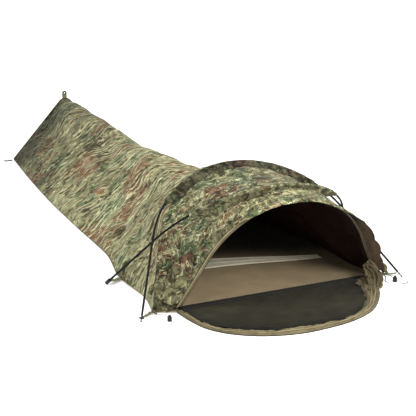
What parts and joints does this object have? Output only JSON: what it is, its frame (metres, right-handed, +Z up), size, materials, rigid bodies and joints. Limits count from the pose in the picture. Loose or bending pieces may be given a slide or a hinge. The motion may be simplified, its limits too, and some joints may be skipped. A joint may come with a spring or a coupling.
{
  "type": "bivy sack",
  "caption": "Low one-person bivy sack with crossed hoops over the head, a raised foot peak and a fold-down door with a net layer.",
  "frame": {"origin": "on the ground, under the middle of the whole object with its door laid open", "axes": "+Y towards the foot, the door towards -Y, +X to the right seen from the door, +Z up"},
  "size_m": [1.1148, 2.66, 0.4457],
  "materials": {
    "camo_fabric": "woven waterproof laminate, printed in irregular green, brown and sand blotches",
    "sleeve_fabric": "gathered woven fabric with the same print, darker",
    "floor_fabric": "coated ripstop floor cloth",
    "seam_tape": "pale welded seam tape",
    "tan_trim": "rolled tan cloth edge",
    "zip_tape": "woven zipper tape",
    "zip_coil": "moulded coil teeth",
    "door_fabric": "coated cloth, inner face",
    "net_mesh": "fine dark mosquito net",
    "net_hem": "narrow dark hem tape",
    "hoop_tube": "black anodised alloy tube",
    "bare_alloy": "dark alloy",
    "elastic": "black braided elastic",
    "eyelet_metal": "blackened eyelet",
    "black_plastic": "moulded nylon",
    "webbing": "olive webbing",
    "black_metal": "painted die-cast metal",
    "spring_steel": "bare spring wire",
    "cord": "braided cord"
  },
  "bodies": {
    "root": {"body_cover": "camo_fabric", "foot_end_panel": "camo_fabric", "roof_crescent_panel": "camo_fabric", "hood_front_panel": "camo_fabric", "hang_tab": "camo_fabric", "rear_hoop_sleeve": "sleeve_fabric", "front_hoop_sleeve": "sleeve_fabric", "floor_panel": "floor_fabric", "floor_seam_tapes": "seam_tape", "hood_rim_binding": "tan_trim", "hood_zip_tape": "zip_tape", "hood_zip_coil": "zip_coil", "sill_strip": "net_mesh", "rear_hoop_section_1": "hoop_tube", "rear_hoop_section_2": "hoop_tube", "rear_hoop_section_3": "hoop_tube", "rear_hoop_section_4": "hoop_tube", "rear_hoop_section_5": "hoop_tube", "front_hoop_section_1": "hoop_tube", "front_hoop_section_2": "hoop_tube", "front_hoop_section_3": "hoop_tube", "front_hoop_section_4": "hoop_tube", "front_hoop_section_5": "hoop_tube", "rear_hoop_ferrules": "bare_alloy", "front_hoop_ferrules": "bare_alloy", "rear_hoop_tips": "bare_alloy", "front_hoop_tips": "bare_alloy", "rear_hoop_shock_cord": "elastic", "front_hoop_shock_cord": "elastic", "peg_loop_left": "elastic", "peg_loop_right": "elastic", "foot_eyelet_left": "eyelet_metal", "foot_eyelet_right": "eyelet_metal", "hang_eyelet": "eyelet_metal", "foot_cup_left": "black_plastic", "foot_cup_right": "black_plastic", "cord_lock_body_left": "black_plastic", "cord_lock_body_right": "black_plastic", "eyelet_strap_left": "webbing", "eyelet_strap_right": "webbing", "cup_strap_left": "webbing", "cup_strap_right": "webbing", "cord_lock_spring_left": "spring_steel", "cord_lock_spring_right": "spring_steel", "drawcord_left": "cord", "drawcord_right": "cord"},
    "door": {"door_panel": "door_fabric", "door_rim": "tan_trim", "door_zip_coil": "zip_coil"},
    "net": {"net_panel": "net_mesh", "net_hem": "net_hem"},
    "slider_left": {"zip_slider_left": "black_metal"},
    "slider_right": {"zip_slider_right": "black_metal"},
    "pull_left": {"zip_tab_left": "black_metal", "zip_pull_left": "black_plastic"},
    "pull_right": {"zip_tab_right": "black_metal", "zip_pull_cord_right": "cord"},
    "plunger_left": {"cord_lock_plunger_left": "black_plastic"},
    "plunger_right": {"cord_lock_plunger_right": "black_plastic"}
  },
  "joints": [
    {"name": "door_fold", "type": "hinge", "parent": "root", "child": "door", "pos_m": [0.008, -0.945, 0.0045], "axis": [-1, 0, 0], "range_deg": [0, 76]},
    {"name": "net_fold", "type": "hinge", "parent": "door", "child": "net", "pos_m": [0.008, -0.945, 0.0045], "axis": [-1, 0, 0], "range_deg": [0, 75]},
    {"name": "slider_left_travel", "type": "slide", "parent": "root", "child": "slider_left", "axis": [0.452, -0.2158, 0.8655], "range_m": [0, 0.203]},
    {"name": "pull_left_swing", "type": "hinge", "parent": "slider_left", "child": "pull_left", "pos_m": [-0.39162, -0.94332, 0.01786], "axis": [0, 0.9703, 0.2419], "range_deg": [0, 120]},
    {"name": "plunger_left_press", "type": "slide", "parent": "root", "child": "plunger_left", "axis": [0, 0, -1], "range_m": [0, 0.004], "stiffness_N_per_m": 400, "springref_m": -0.002, "deforming": ["cord_lock_spring_left"]},
    {"name": "slider_right_travel", "type": "slide", "parent": "root", "child": "slider_right", "axis": [-0.452, -0.2158, 0.8655], "range_m": [0, 0.203]},
    {"name": "pull_right_swing", "type": "hinge", "parent": "slider_right", "child": "pull_right", "pos_m": [0.46162, -0.94332, 0.01786], "axis": [0, -0.9703, -0.2419], "range_deg": [0, 120]},
    {"name": "plunger_right_press", "type": "slide", "parent": "root", "child": "plunger_right", "axis": [0, 0, -1], "range_m": [0, 0.004], "stiffness_N_per_m": 400, "springref_m": -0.002, "deforming": ["cord_lock_spring_right"]}
  ]
}
